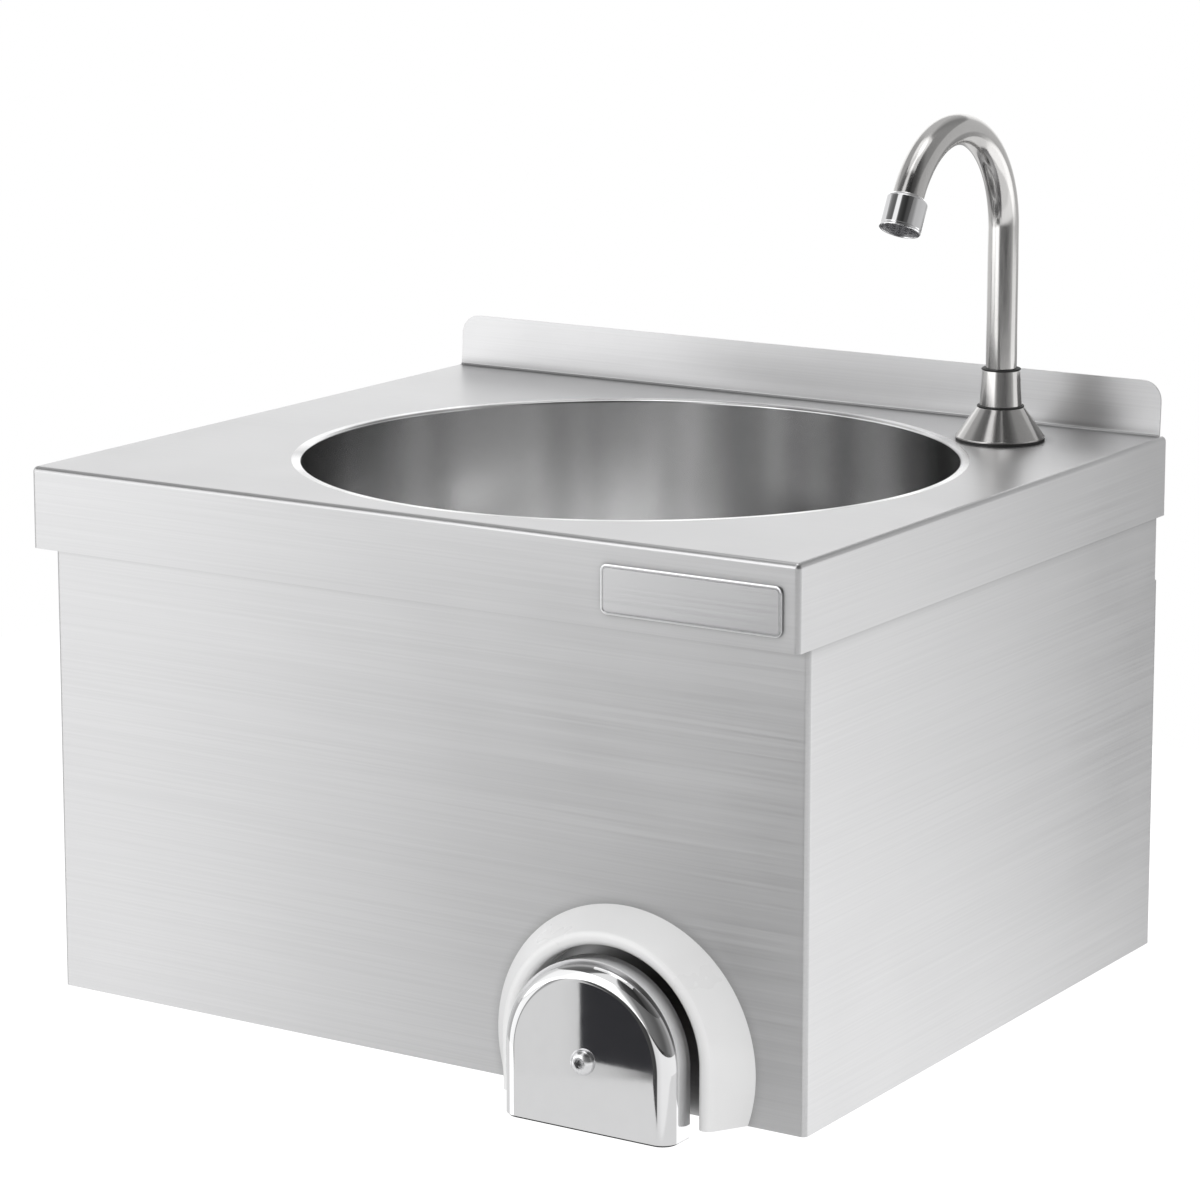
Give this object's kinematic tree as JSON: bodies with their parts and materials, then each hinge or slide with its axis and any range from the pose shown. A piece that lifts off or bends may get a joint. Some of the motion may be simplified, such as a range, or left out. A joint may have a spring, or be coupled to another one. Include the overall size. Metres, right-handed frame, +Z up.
{
  "type": "hand wash sink",
  "caption": "Wall-hung stainless hand wash sink with a round bowl, swivel gooseneck spout and a knee-operated self-closing valve.",
  "frame": {"origin": "on the wall plane, midway between the two upper wall fixing holes", "axes": "+X to the right as the user faces the sink, +Y towards the wall, +Z up"},
  "size_m": [0.5, 0.4594, 0.5097],
  "materials": {
    "sheet_steel": "satin brushed stainless steel, grain along the width",
    "bowl_steel": "spun and satin polished stainless steel",
    "polished_steel": "mirror polished stainless steel",
    "tube_steel": "brushed along the tube",
    "chrome": "bright chrome plate",
    "brass": "machined brass",
    "nickel_brass": "nickel-plated brass",
    "pipe_steel": "stainless pipe, drawn",
    "black_rubber": "matt black rubber",
    "black_plastic": "moulded black plastic",
    "white_plastic": "glossy moulded plastic",
    "grey_plastic": "moulded grey plastic",
    "zinc_steel": "zinc-plated or stainless fastener"
  },
  "bodies": {
    "sink": {"deck": "sheet_steel", "casing": "sheet_steel", "wall_rail": "sheet_steel", "mixer_bracket": "sheet_steel", "badge_plate": "sheet_steel", "bowl": "bowl_steel", "drain_strainer": "bowl_steel", "spout_collar": "polished_steel", "spout_cone": "polished_steel", "tap_shank": "brass", "valve_body": "brass", "valve_plug": "brass", "shank_nut": "brass", "valve_nut": "brass", "spindle_gland": "brass", "union_nuts": "nickel_brass", "spout_union_nut": "nickel_brass", "mixer_body": "nickel_brass", "inlet_nipples": "nickel_brass", "feed_pipe": "pipe_steel", "riser_pipe": "pipe_steel", "drain_upper_gasket": "black_rubber", "drain_lower_gasket": "black_rubber", "collar_seal": "black_rubber", "cone_seal": "black_rubber", "base_gasket": "black_rubber", "spout_o_rings": "black_rubber", "shank_gasket": "black_rubber", "union_washers": "black_rubber", "rod_bush": "black_plastic", "shroud": "white_plastic", "check_valves": "white_plastic", "waste_body": "grey_plastic", "strainer_screw": "zinc_steel", "shroud_screws": "zinc_steel", "mixer_screws": "zinc_steel", "return_spring": "zinc_steel", "shank_washer": "zinc_steel", "inlet_filters": "zinc_steel"},
    "spout": {"spout_tube": "tube_steel", "spout_clip": "zinc_steel", "aerator_cap": "chrome", "aerator_seal": "black_rubber", "aerator_insert": "grey_plastic"},
    "knee": {"knee_pad": "polished_steel", "pad_core": "black_plastic", "pad_screw": "polished_steel", "push_rod": "tube_steel", "valve_plunger": "brass", "plunger_seals": "black_rubber"},
    "mixer_control": {"temperature_knob": "black_plastic", "knob_screw": "zinc_steel", "mixing_spindle": "brass"}
  },
  "joints": [
    {"name": "spout_swivel", "type": "hinge", "parent": "sink", "child": "spout", "pos_m": [0.172, -0.06, 0.1], "axis": [0, 0, 1], "range_deg": [-90, 90]},
    {"name": "knee_push", "type": "slide", "parent": "sink", "child": "knee", "axis": [0, 1, 0], "range_m": [0, 0.01], "stiffness_N_per_m": 1500, "springref_m": -0.006, "deforming": ["return_spring"]},
    {"name": "temperature_turn", "type": "hinge", "parent": "sink", "child": "mixer_control", "pos_m": [0.19, -0.15, -0.215], "axis": [1, 0, 0], "range_deg": [-90, 90]}
  ]
}
